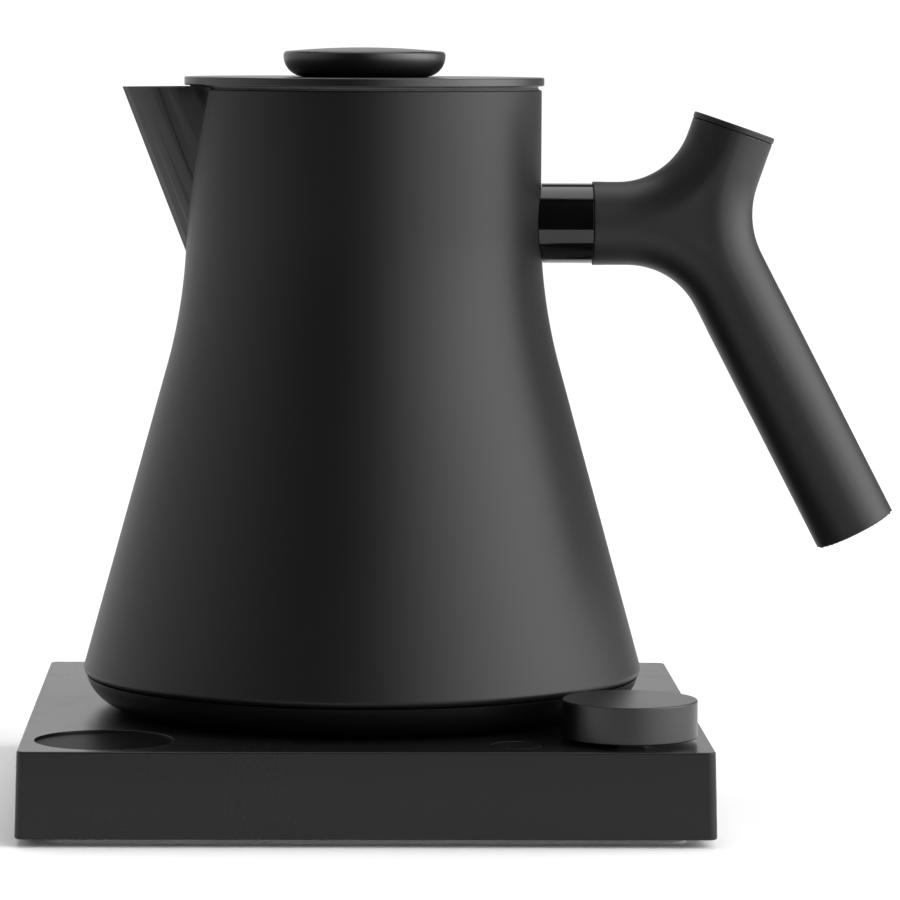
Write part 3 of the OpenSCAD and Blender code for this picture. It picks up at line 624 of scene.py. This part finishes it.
contact_brass, brass = finish("contact_brass")
tarnish = brass.noise(3 * MM, 5)
wiped = brass.noise(0.3 * MM, 3, brass.place((0.08, 0.08, 1)))
brass.set(
    Base_Color=brass.blend(tarnish, (0.72, 0.52, 0.2), (0.42, 0.29, 0.12)),
    Roughness=0.2 + 0.2 * tarnish + 0.1 * wiped,
    Metallic=1.0,
    Normal=brass.relief(wiped, 0.008 * MM),
)
coat("connector_contacts", contact_brass)
coat("socket_contacts", contact_brass)


# Socket under the kettle. A moulded cup that drops over the boss, with a flange that
# runs on the cover's inner edge; its roof holds the pin and, in a slot, the ring blade.
low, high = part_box("kettle_socket")
roof = high.z - 3 * MM
web = high.z - 1.2 * MM
flange = 23.5 * MM
flange_foot = deck + 2.9 * MM
flange_top = flange_foot + 2 * MM
cup_in, cup_out = 16.9 * MM, 20.5 * MM
slot_in, slot_out, pin_hole = 9.3 * MM, 10.25 * MM, 3.06 * MM
lip = 0.2 * MM
socket = made("kettle_socket_cup", turned(rounded(
    (cup_in, low.z, 0.5 * MM), (cup_out, low.z, 0.5 * MM), (cup_out, flange_foot, 0),
    (flange, flange_foot, 0.3 * MM), (flange, flange_top, 0.3 * MM),
    (cup_out, flange_top, 0), (cup_out, high.z, 0.6 * MM), (pin_hole, high.z, 0),
    (pin_hole, roof, lip), (slot_in, roof, lip), (slot_in, web, 0),
    (slot_out, web, 0), (slot_out, roof, lip), (cup_in, roof, 0.3 * MM))), gland_black)
slot_middle = (slot_in + slot_out) / 2
for angle in (60, 180, 300):
    tab_hole = moved(
        hole(0.4 * MM, 0.05 * MM, top=high.z, bottom=web - 0.5 * MM),
        slot_middle * cos(radians(angle)), slot_middle * sin(radians(angle)))
    carved(socket, made("tab_hole", tab_hole, gland_black))
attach(socket, "kettle_coupler")
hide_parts("kettle_socket")


# Bottom cover. A black moulded tray with a rounded foot; an upstand centres it in the
# body, and three screws in deep wells hold it to studs under the vessel.
cover_black = moulded("cover_black", (0.003, 0.003, 0.0031), 0.28, 0.4 * MM, 0.006 * MM, sheen=0.4)
low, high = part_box("bottom_cover")
cover_radius = 72.3 * MM
cover_top = deck + 8.6 * MM
foot = 11.2 * MM
shell = 2.2 * MM
rise = low.z + foot - cover_top
foot_top = asin(rise / foot)
arc_middle = (cover_radius - foot * cos(foot_top), low.z + foot)
upstand = arc_middle[0] + ((foot - shell) ** 2 - rise ** 2) ** 0.5


def quarter(middle, radius, start, end, steps=14):
    """Points along an arc, from one angle to another."""
    turn = (end - start) / steps
    return [
        (middle[0] + radius * cos(start + turn * k), middle[1] + radius * sin(start + turn * k))
        for k in range(steps + 1)
    ]


upstand_inside = upstand - 1.4 * MM
upstand_foot = cover_top - 2 * MM
inside_top = asin((rise + 2 * MM) / (foot - shell))
mouth = 20.9 * MM
lip = 0.3 * MM
edge = 0.15 * MM
cover = made("bottom_cover_tray", turned([
    (mouth, low.z + lip), (mouth + lip, low.z),
    *quarter(arc_middle, foot, -pi / 2, -foot_top - 0.013),
    (cover_radius - edge, cover_top), (upstand, cover_top), (upstand, high.z),
    (upstand_inside, high.z), (upstand_inside, upstand_foot),
    *quarter(arc_middle, foot - shell, -inside_top, -pi / 2),
    (mouth, low.z + shell)]), cover_black)
screw_ring = 60 * MM
for angle in (30, 150, 270):
    well_cut = moved(
        hole(3.3 * MM, 0.2 * MM, top=-low.z, bottom=-low.z - 1.9 * MM),
        screw_ring * cos(radians(angle)), -screw_ring * sin(radians(angle)))
    bmesh.ops.rotate(well_cut, verts=well_cut.verts, matrix=Matrix.Rotation(pi, 3, "X"))
    carved(cover, made("well", well_cut, cover_black))
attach(cover, "kettle")
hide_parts("bottom_cover")
coat("cover_screws", screw_zinc)


# Kettle body. Sheet steel spun to a cone that flares into an upright neck, its bottom edge
# rolled in over the cover, opened behind the spout and powder-coated matte black.
body_black = powder("body_black", (0.0028, 0.0028, 0.0029), 0.42, 0.28)
low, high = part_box("kettle_body")
sheet = 0.8 * MM
neck = 46.2 * MM
rim = high.z
lean = radians(15.4)
flare = 141 * MM
widest = 73 * MM
shoulder = deck + 10.3 * MM
flare_top = shoulder + (widest - neck - flare * (1 - cos(lean))) / tan(lean) + flare * sin(lean)


def body_outline(inset, bottom, top, edge):
    """Outer face of the body, moved in by inset, from its foot up to its rim."""
    cone_top = flare_top - flare * sin(lean)
    cone_radius = neck + flare * (1 - cos(lean))
    reach = cone_radius + (cone_top - bottom) * tan(lean) - inset / cos(lean)
    steps = 28
    bend = [lean * (1 - k / steps) for k in range(steps + 1)]
    curve = [
        (neck + flare - (flare + inset) * cos(a), flare_top - (flare + inset) * sin(a)) for a in bend]
    return [(reach, bottom), *curve, (neck - inset, top - edge)]


lip_radius = 0.4 * MM
edge = 0.15 * MM
roll_radius = 1.8 * MM
outer = body_outline(0, shoulder, rim, lip_radius)
inner = body_outline(sheet, shoulder, rim, edge)
roll = quarter((widest - roll_radius / cos(lean), shoulder), roll_radius, radians(-48), lean, 8)
roll_foot = roll[0][0]
lip = quarter((neck - lip_radius, rim - lip_radius), lip_radius, 0, pi / 2, 5)
body_shape = turned([
    (roll_foot - 0.9 * MM, low.z), (roll_foot - 0.2 * MM, low.z), *roll, *outer[1:],
    *lip, (neck - sheet + edge, rim), *reversed(inner)], sides=256)
body = made("kettle_body_shell", body_shape, body_black)


# Spout. One piece of sheet folded to a sharp V with curved sides, leaning out from the
# neck, set through a slot in the wall and welded, with its top cut level for pouring.
tip_low, tip_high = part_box("spout")
spout_lean = radians(21.15)
side_radius = 60 * MM
nose_angle = radians(28)
spout_sheet = 0.9 * MM


def cut_off(shape, point, direction):
    """Removes what lies past a plane and closes the cut."""
    cut = bmesh.ops.bisect_plane(
        shape, geom=shape.verts[:] + shape.edges[:] + shape.faces[:], plane_co=point,
        plane_no=direction, clear_outer=True)["geom_cut"]
    rim_edges = [e for e in cut if isinstance(e, bmesh.types.BMEdge)]
    bmesh.ops.holes_fill(shape, edges=rim_edges, sides=0)
    return shape


def spout_wedge(inset, top, bottom=-60 * MM):
    """Solid between the two curved sides, along the leaning front edge."""
    radius = side_radius - inset
    reach = side_radius * cos(nose_angle)
    side = side_radius * sin(nose_angle)
    start = atan2(side, (radius ** 2 - side ** 2) ** 0.5)
    nose = 0.25 * MM if inset == 0 else 0.05 * MM
    steps = 20
    arc = []
    for k in range(steps + 1):
        a = start + (pi / 2 - 0.02 - start) * k / steps
        arc.append((reach - radius * cos(a), radius * sin(a) - side))
    arc[0] = (arc[0][0] + nose, 0)
    shape = bmesh.new()
    line = arc + [(x, -y) for x, y in reversed(arc[1:])]
    verts = [shape.verts.new((x, y, bottom)) for x, y in line]
    face = shape.faces.new(verts)
    grown = bmesh.ops.extrude_face_region(shape, geom=[face])["geom"]
    bmesh.ops.translate(
        shape, verts=[v for v in grown if isinstance(v, bmesh.types.BMVert)],
        vec=(0, 0, 80 * MM))
    place = Matrix.Translation((tip_low.x, 0, tip_high.z)) @ Matrix.Rotation(-spout_lean, 4, "Y")
    bmesh.ops.transform(shape, matrix=place, verts=shape.verts)
    return cut_off(shape, (0, 0, top), (0, 0, 1))


def half_space(shape):
    """Keeps only what lies on the spout's side of the kettle's axis."""
    return cut_off(shape, (-10 * MM, 0, 0), (1, 0, 0))


slot = made("slot", half_space(spout_wedge(-0.18 * MM, rim + 5 * MM)), body_black)
carved(body, slot, sharp=35)
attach(body, "kettle")
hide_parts("kettle_body")

spout = made("spout_sheet", half_space(spout_wedge(0, tip_high.z)), body_black)
carved(spout, made("trough", spout_wedge(spout_sheet, tip_high.z + 5 * MM), body_black))
neck_core = turned([
    (0, deck), *body_outline(sheet, deck + 20 * MM, rim + 5 * MM, 0), (0, rim + 5 * MM)],
    closed=False, sides=256)
carved(spout, made("neck_core", neck_core, body_black), sharp=35)
soften = spout.modifiers.new("soften", "BEVEL")
soften.width = 0.15 * MM
soften.segments = 2
soften.angle_limit = radians(50)
settled(spout, sharp=40)
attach(spout, "kettle")
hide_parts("spout")


# Heater. A polished steel floor, brazed to an aluminium disc and an element in a steel
# sheath; a probe comes up through the floor in a red silicone seal.
floor_steel, polish = finish("floor_steel")
lathe_marks = polish.noise(0.5 * MM, 3, polish.place((1, 1, 0.2)))
scale = polish.noise(14 * MM, 5)
polish.set(
    Base_Color=polish.blend(scale.between(0.45, 0.75), (0.62, 0.62, 0.63), (0.5, 0.49, 0.46)),
    Roughness=0.2 + 0.15 * lathe_marks + 0.15 * scale,
    Metallic=1.0,
    Normal=polish.relief(lathe_marks, 0.01 * MM),
)
for node in ("heater_plate", "temperature_probe", "handle_bracket"):
    coat(node, floor_steel)

rolled_aluminium, rolled = finish("rolled_aluminium")
streak = rolled.noise(0.4 * MM, 4, rolled.place((0.04, 1, 1)))
rolled.set(
    Base_Color=rolled.blend(streak, (0.66, 0.67, 0.68), (0.8, 0.81, 0.82)),
    Roughness=0.3 + 0.15 * streak,
    Metallic=1.0,
    Normal=rolled.relief(streak, 0.01 * MM),
)
coat("heat_spreader", rolled_aluminium)

sheath_steel, sheath = finish("sheath_steel")
heat_tint = sheath.noise(9 * MM, 4)
sheath.set(
    Base_Color=sheath.blend(heat_tint, (0.42, 0.36, 0.28), (0.3, 0.31, 0.36)),
    Roughness=0.35 + 0.2 * heat_tint,
    Metallic=1.0,
    Normal=sheath.relief(heat_tint, 0.02 * MM),
)
for node in ("heating_element", "element_terminals"):
    coat(node, sheath_steel)

seal_red, seal = finish("seal_red")
bloom = seal.noise(1.2 * MM, 4)
seal.set(
    Base_Color=seal.blend(bloom, (0.3, 0.05, 0.03), (0.38, 0.1, 0.07)),
    Roughness=0.5 + 0.2 * bloom,
    Normal=seal.relief(bloom, 0.02 * MM),
)
coat("probe_seal", seal_red)


# Ferrule. A turned collar in polished black between neck and handle, shaped to the
# neck's curve where it meets it.
gloss_black, gloss = finish("gloss_black")
ripple = gloss.noise(5 * MM, 2)
smear = gloss.noise(3 * MM, 5)
gloss.set(
    Base_Color=gloss.blend(smear, (0.002, 0.002, 0.002), (0.003, 0.003, 0.003)),
    Roughness=0.05 + 0.05 * smear,
    Normal=gloss.relief(ripple, 0.003 * MM),
)
low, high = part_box("handle_ferrule")
arm_z = (low.z + high.z) / 2
collar = 10.45 * MM
bore = 5.95 * MM


def along_x(shape, height):
    """Lays a turned shape down, so that its axis points along +X at that height."""
    bmesh.ops.transform(
        shape, verts=shape.verts,
        matrix=Matrix.Translation((0, 0, height)) @ Matrix.Rotation(pi / 2, 4, "Y"))
    return shape


ferrule = made("handle_ferrule_collar", along_x(turned(rounded(
    (bore, neck - 8 * MM, 0), (collar, neck - 8 * MM, 0), (collar, high.x, 0.25 * MM),
    (bore, high.x, 0.2 * MM)), sides=96), arm_z), gloss_black)
neck_fill = turned([
    (0, deck + 60 * MM), *body_outline(-0.12 * MM, deck + 60 * MM, rim, 0), (0, rim)],
    closed=False, sides=256)
carved(ferrule, made("neck_fill", neck_fill, gloss_black))
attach(ferrule, "kettle")
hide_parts("handle_ferrule")


# Handle. One moulding in soft matte black: three round legs of one thickness run into
# each other in wide bends, with a steel core down the long grip and a plug in its end.
handle_black = moulded("handle_black", (0.003, 0.003, 0.0031), 0.46, 0.3 * MM, 0.006 * MM, sheen=0.4)
leg_radius = 10.9 * MM
hub = Vector((87.75 * MM, 0, arm_z))
stub_lean = radians(19.1)
grip_lean = radians(27.4)
to_arm = Vector((-1, 0, 0))
to_stub = Vector((sin(stub_lean), 0, cos(stub_lean)))
to_grip = Vector((sin(grip_lean), 0, -cos(grip_lean)))
arm_length = hub.x - high.x
cap_thick = 1.6 * MM
stub_length = 27.3 * MM - cap_thick
grip_length = 90.2 * MM
spare = 4 * MM
bend_top, bend_inner, bend_outer = 19.2 * MM, 20 * MM, 22.3 * MM


def bent_leg(shape, first, first_length, second, second_length, bend):
    """Adds a closed tube along two legs that meet at the hub, bent round a wide radius."""
    between = first.angle(second)
    tangent = bend / tan(between / 2)
    centre = hub + (first + second).normalized() * (bend / sin(between / 2))
    across = first.cross(second).normalized()
    facing = first.to_track_quat("Z", "Y").to_matrix().to_4x4()
    start = Matrix.Translation(hub + first * first_length) @ facing
    ring = bmesh.ops.create_circle(shape, segments=96, radius=leg_radius, cap_ends=True, matrix=start)
    end = [f for f in ring["verts"][0].link_faces]
    back = bmesh.ops.extrude_face_region(shape, geom=end, use_keep_orig=True)["geom"]
    end = [f for f in back if isinstance(f, bmesh.types.BMFace)]
    bmesh.ops.translate(
        shape, verts=end[0].verts[:], vec=-first * (first_length - tangent))
    swept = bmesh.ops.spin(
        shape, geom=end, cent=centre, axis=across, angle=-(pi - between), steps=32)["geom_last"]
    end = [f for f in swept if isinstance(f, bmesh.types.BMFace)]
    far = bmesh.ops.extrude_face_region(shape, geom=end)["geom"]
    end = [f for f in far if isinstance(f, bmesh.types.BMFace)]
    bmesh.ops.translate(shape, verts=end[0].verts[:], vec=second * (second_length - tangent))


joined = bmesh.new()
for first, first_length, second, second_length, bend in (
    (to_arm, arm_length + spare, to_stub, stub_length + spare, bend_top),
    (to_arm, arm_length + spare, to_grip, grip_length + spare, bend_inner),
    (to_stub, stub_length + spare, to_grip, grip_length + spare, bend_outer),
):
    bent_leg(joined, first, first_length, second, second_length, bend + leg_radius)
web_line = []
for first, second, bend in (
    (to_arm, to_stub, bend_top), (to_stub, to_grip, bend_outer), (to_grip, to_arm, bend_inner),
):
    half = first.angle(second) / 2
    bend_radius = bend + leg_radius
    centre = hub + (first + second).normalized() * (bend_radius / sin(half))
    start = (hub + first * (bend_radius / tan(half)) - centre).normalized()
    end = (hub + second * (bend_radius / tan(half)) - centre).normalized()
    web_line += [centre + start.slerp(end, k / 12) * bend_radius for k in range(13)]
web_verts = [joined.verts.new(point - Vector((0, 0.99 * leg_radius, 0))) for point in web_line]
web_face = joined.faces.new(web_verts)
raised = bmesh.ops.extrude_face_region(joined, geom=[web_face], use_keep_orig=True)["geom"]
bmesh.ops.translate(
    joined, verts=[v for v in raised if isinstance(v, bmesh.types.BMVert)],
    vec=(0, 1.98 * leg_radius, 0))
inside = [f for f in joined.faces if all(len(e.link_faces) > 2 for e in f.edges)]
bmesh.ops.delete(joined, geom=inside, context="FACES_ONLY")
bmesh.ops.create_icosphere(joined, subdivisions=4, radius=leg_radius, matrix=Matrix.Translation(hub))
bmesh.ops.remove_doubles(joined, verts=joined.verts, dist=0.001 * MM)
handle = made("handle_moulding", joined, handle_black)
fuse = handle.modifiers.new("fuse", "REMESH")
fuse.mode = "VOXEL"
fuse.voxel_size = 0.6 * MM
settled(handle, sharp=180)

grown = bmesh.new()
grown.from_mesh(handle.data)
legs = ((to_arm, 24 * MM), (to_stub, 23 * MM), (to_grip, 24 * MM))


def leg_of(point):
    """The leg that a point of the handle's skin lies on, and how far along it."""
    reach = [(point - hub).dot(way) for way, bend_end in legs]
    best = max(range(3), key=lambda i: reach[i])
    return best, reach[best]


hub_skin = [v for v in grown.verts if leg_of(v.co)[1] < legs[leg_of(v.co)[0]][1] + 2 * MM]
for _ in range(12):
    bmesh.ops.smooth_vert(
        grown, verts=hub_skin, factor=0.5, use_axis_x=True, use_axis_y=True, use_axis_z=True)
for vert in grown.verts:
    which, along = leg_of(vert.co)
    way, bend_end = legs[which]
    foot_point = hub + way * along
    spoke = vert.co - foot_point
    true_spoke = spoke.normalized() * leg_radius
    share = min(max((along - bend_end) / (5 * MM), 0), 1)
    if spoke.length > 0.8 * leg_radius:
        vert.co = foot_point + spoke.lerp(true_spoke, share)
for way, length, soft in (
    (to_arm, arm_length, 0.3 * MM), (to_stub, stub_length, 0.25 * MM), (to_grip, grip_length, 0.8 * MM),
):
    cut = bmesh.ops.bisect_plane(
        grown, geom=grown.verts[:] + grown.edges[:] + grown.faces[:], plane_co=hub + way * length,
        plane_no=way, clear_outer=True)["geom_cut"]
    loop = [e for e in cut if isinstance(e, bmesh.types.BMEdge)]
    bmesh.ops.holes_fill(grown, edges=loop, sides=0)
    loop = [e for e in loop if e.is_valid]
    bmesh.ops.bevel(
        grown, geom=loop, offset=soft, offset_type="OFFSET", segments=3, profile=0.5,
        affect="EDGES", material=-1)
mesh = bpy.data.meshes.new("handle_moulding")
grown.to_mesh(mesh)
mesh.materials.append(handle_black)
mesh.shade_smooth()
mesh.set_sharp_from_angle(angle=radians(50))
handle.data = mesh
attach(handle, "kettle")
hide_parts("handle_shell")
coat("handle_weight", turned_steel)
coat("handle_screw", screw_zinc)
coat("grip_plug", handle_black)


# Handle cap. A thin moulded disc that snaps into the upper leg over the screw, a hair
# wider than the leg, so that only a fine line shows between them.
cap_radius = leg_radius + 0.1 * MM
line = 0.03 * MM
cap = turned(rounded(
    (0, line, 0), (leg_radius - 0.2 * MM, line, 0), (cap_radius, 0.2 * MM, 0.1 * MM),
    (cap_radius, cap_thick, 0.35 * MM), (0, cap_thick, 0)), closed=False, sides=96)
bmesh.ops.transform(
    cap, verts=cap.verts,
    matrix=Matrix.Translation(hub + to_stub * stub_length) @ Matrix.Rotation(stub_lean, 4, "Y"))
handle_cap = made("handle_cap_disc", cap, handle_black)
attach(handle_cap, "kettle")
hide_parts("handle_cap")


# Lid. A flat turned disc in the body's black over a grey silicone ring and a moulded
# skirt, with a screw from below into the knob.
lid_black = powder("lid_black", (0.003, 0.003, 0.0031), 0.32, 0.48)
low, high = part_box("lid_plate")
edge = 0.35 * MM
lid = made("lid_disc", turned(rounded(
    (0, low.z, 0), (high.x, low.z, edge), (high.x, high.z, edge), (0, high.z, 0)),
    closed=False, sides=256), lid_black)
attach(lid, "lid")
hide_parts("lid_plate")

silicone_grey, silicone = finish("silicone_grey")
talc = silicone.noise(1.5 * MM, 4)
silicone.set(
    Base_Color=silicone.blend(talc, (0.05, 0.05, 0.052), (0.09, 0.09, 0.092)),
    Roughness=0.4 + 0.2 * talc,
    Normal=silicone.relief(talc, 0.01 * MM),
)
low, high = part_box("lid_gasket")
middle_z = (low.z + high.z) / 2
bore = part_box("lid_plug")[1].x + 0.05 * MM
gasket = made("lid_gasket_ring", turned(rounded(
    (bore, low.z, 0.1 * MM), (high.x, low.z, 0.1 * MM), (high.x - 0.5 * MM, middle_z, 0),
    (high.x - 0.2 * MM, high.z, 0.1 * MM), (bore, high.z, 0.1 * MM)), sides=256), silicone_grey)
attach(gasket, "lid")
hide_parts("lid_gasket")

low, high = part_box("lid_plug")
skirt = 1.2 * MM
screw_hole = 2.2 * MM
plug = made("lid_plug_cup", turned(rounded(
    (screw_hole, high.z, 0), (screw_hole, high.z - skirt, 0), (high.x - skirt, high.z - skirt, 1.5 * MM),
    (high.x - skirt, low.z, 0.5 * MM), (high.x, low.z, 0.5 * MM), (high.x, high.z, 0.1 * MM)),
    sides=192), cover_black)
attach(plug, "lid")
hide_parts("lid_plug")
coat("lid_screw", screw_zinc)


# Lid's knob. A pebble moulded in matte black, flat and slightly domed on top, full at
# its rim and drawn in under it to a narrow foot.
pebble_black = powder("pebble_black", (0.003, 0.003, 0.0031), 0.34, 0.6)
low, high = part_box("lid_knob")
pebble_radius = high.x
tuck = 5.6 * MM
dome = 1.0 * MM
soft = 1.0 * MM
belly = high.z - low.z - dome - soft - 0.3 * MM
under = [
    (pebble_radius - tuck + tuck * sin(a), low.z + belly * (1 - cos(a)))
    for a in [pi / 2 * k / 20 for k in range(21)]]
crown = [
    ((pebble_radius - soft) * k / 24, high.z - dome * (k / 24) ** 2) for k in range(24, -1, -1)]
rim_middle = (pebble_radius - soft, high.z - dome - soft)
pebble = made("lid_knob_pebble", turned([
    (0, low.z), *under, *quarter(rim_middle, soft, 0, radians(84), 10), *crown[1:]],
    closed=False, sides=192), pebble_black, sharp=40)
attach(pebble, "lid")
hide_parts("lid_knob")
